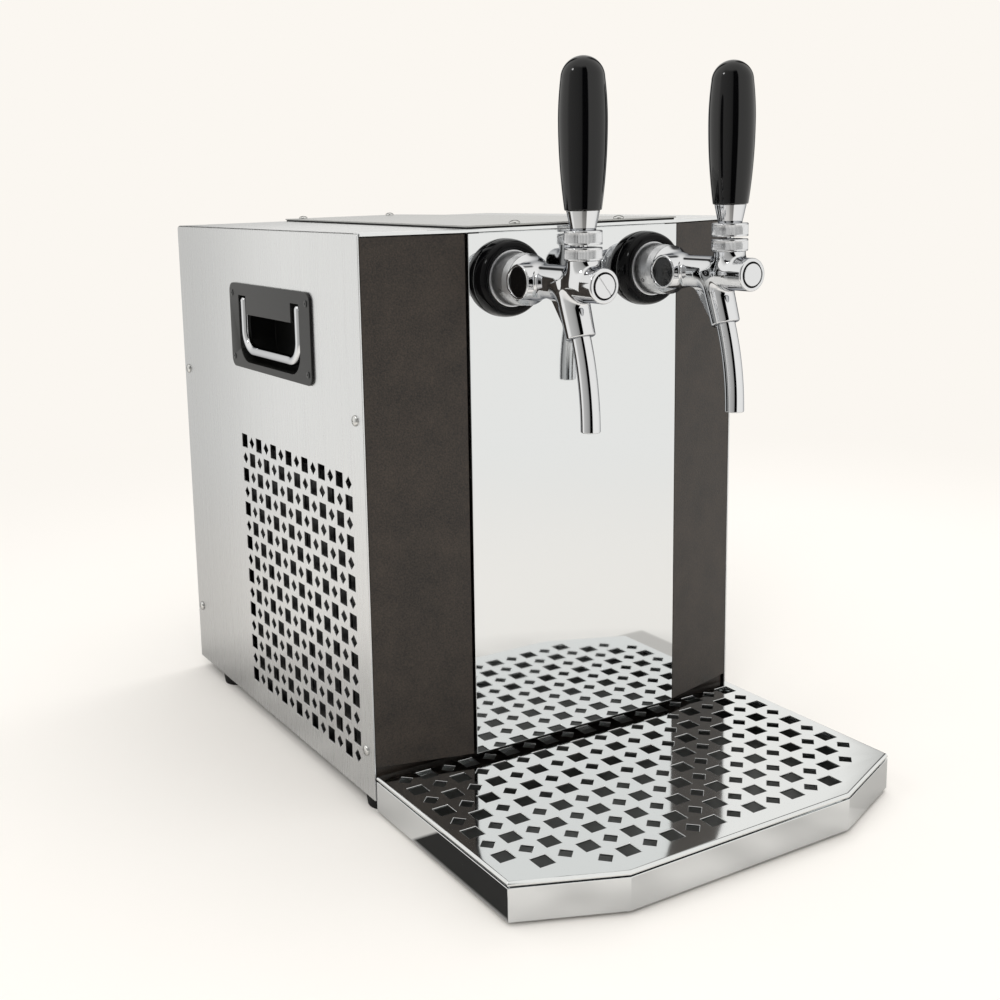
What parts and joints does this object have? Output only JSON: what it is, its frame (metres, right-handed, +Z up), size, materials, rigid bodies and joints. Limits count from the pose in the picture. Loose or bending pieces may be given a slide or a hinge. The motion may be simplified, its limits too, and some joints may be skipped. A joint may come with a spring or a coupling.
{
  "type": "countertop beer dispenser",
  "caption": "Countertop beer cooler and dispenser with pull-lever taps on a mirror-polished front, a perforated drip tray, a chequered vent grille and folding side handles.",
  "frame": {"origin": "middle of the bounding box, on the bench", "axes": "+X to the right seen from the front, +Y from the front to the rear, +Z up"},
  "size_m": [0.3672, 0.6104, 0.5655],
  "materials": {
    "brushed_steel": "satin stainless sheet with a fine vertical grain",
    "lid_steel": "satin stainless sheet",
    "mirror_steel": "mirror-polished stainless sheet",
    "brown_coat": "fine textured dark brown powder coat",
    "black_coat": "black enamel",
    "chrome": "polished chrome plate",
    "satin_chrome": "blasted satin chrome plate",
    "black_gloss": "high-gloss black moulding",
    "charcoal_plastic": "satin charcoal moulding",
    "black_plastic": "black moulding",
    "rubber": "black rubber",
    "screw_steel": "bright stainless screws",
    "black_screw": "blackened screws",
    "galvanised": "zinc-coated sheet",
    "foam": "rigid insulating jacket",
    "tube": "milky beer tube",
    "brass": "turned brass"
  },
  "bodies": {
    "cabinet": {"left_side_panel": "brushed_steel", "right_side_panel": "brushed_steel", "top_lid": "lid_steel", "lid_gasket": "rubber", "front_rim": "mirror_steel", "rear_panel": "galvanised", "base_pan": "galvanised", "left_front_panel": "brown_coat", "right_front_panel": "brown_coat", "mirror_panel": "mirror_steel", "front_sill": "brown_coat", "rubber_feet": "rubber", "case_screws": "screw_steel", "compressor": "black_coat", "condenser": "black_coat", "fan_shroud": "black_plastic", "cold_block": "foam", "power_inlet": "black_plastic", "handle_screws": "black_screw", "shank_nuts": "brass", "left_beer_line": "tube", "left_beer_inlet": "charcoal_plastic", "left_handle_plate": "charcoal_plastic", "left_rosette": "black_gloss", "left_shank": "brass", "left_coupling": "satin_chrome", "left_tap_body": "chrome", "left_side_plug": "black_gloss", "left_end_cap": "chrome", "left_bonnet": "chrome", "left_spout": "chrome", "right_beer_line": "tube", "right_beer_inlet": "charcoal_plastic", "right_handle_plate": "charcoal_plastic", "right_rosette": "black_gloss", "right_shank": "brass", "right_coupling": "satin_chrome", "right_tap_body": "chrome", "right_side_plug": "black_gloss", "right_end_cap": "chrome", "right_bonnet": "chrome", "right_spout": "chrome"},
    "drip_tray": {"drip_tray": "mirror_steel", "tray_pads": "rubber", "drip_grate": "mirror_steel"},
    "fan": {"fan_rotor": "black_plastic"},
    "power_rocker": {"power_switch": "black_gloss"},
    "thermostat": {"thermostat_knob": "black_plastic"},
    "left_lever_arm": {"left_lever": "chrome", "left_lever_collar": "chrome", "left_ferrule": "chrome", "left_tap_handle": "black_gloss"},
    "left_piston": {"left_valve": "brass"},
    "left_carry_bail": {"left_bail": "chrome"},
    "right_lever_arm": {"right_lever": "chrome", "right_lever_collar": "chrome", "right_ferrule": "chrome", "right_tap_handle": "black_gloss"},
    "right_piston": {"right_valve": "brass"},
    "right_carry_bail": {"right_bail": "chrome"}
  },
  "joints": [
    {"name": "left_lever_tilt", "type": "hinge", "parent": "cabinet", "child": "left_lever_arm", "pos_m": [-0.067, -0.20775, 0.431], "axis": [1, 0, 0], "range_deg": [-12, 28]},
    {"name": "left_piston_slide", "type": "slide", "parent": "cabinet", "child": "left_piston", "axis": [0, 1, 0], "range_m": [-0.004, 0.009]},
    {"name": "left_bail_swing", "type": "hinge", "parent": "cabinet", "child": "left_carry_bail", "pos_m": [-0.179, 0.07395, 0.387], "axis": [0, 1, 0], "range_deg": [0, 90]},
    {"name": "right_lever_tilt", "type": "hinge", "parent": "cabinet", "child": "right_lever_arm", "pos_m": [0.067, -0.20775, 0.431], "axis": [1, 0, 0], "range_deg": [-12, 28]},
    {"name": "right_piston_slide", "type": "slide", "parent": "cabinet", "child": "right_piston", "axis": [0, 1, 0], "range_m": [-0.004, 0.009]},
    {"name": "right_bail_swing", "type": "hinge", "parent": "cabinet", "child": "right_carry_bail", "pos_m": [0.179, 0.07395, 0.387], "axis": [0, -1, 0], "range_deg": [0, 90]},
    {"name": "drip_tray_slide", "type": "slide", "parent": "cabinet", "child": "drip_tray", "axis": [0, -1, 0], "range_m": [0, 0.2]},
    {"name": "fan_spin", "type": "hinge", "parent": "cabinet", "child": "fan", "pos_m": [-0.1405, 0.04125, 0.14], "axis": [1, 0, 0], "continuous": true},
    {"name": "power_rocker_tilt", "type": "hinge", "parent": "cabinet", "child": "power_rocker", "pos_m": [0.11, 0.28625, 0.079], "axis": [-1, 0, 0], "range_deg": [0, 8]},
    {"name": "thermostat_turn", "type": "hinge", "parent": "cabinet", "child": "thermostat", "pos_m": [0.04, 0.29025, 0.062], "axis": [0, 1, 0], "range_deg": [0, 300]}
  ],
  "couplings": [
    {"joint": "left_piston_slide", "follows": "left_lever_tilt", "m_per_rad": 0.0177},
    {"joint": "right_piston_slide", "follows": "right_lever_tilt", "m_per_rad": 0.0177}
  ]
}
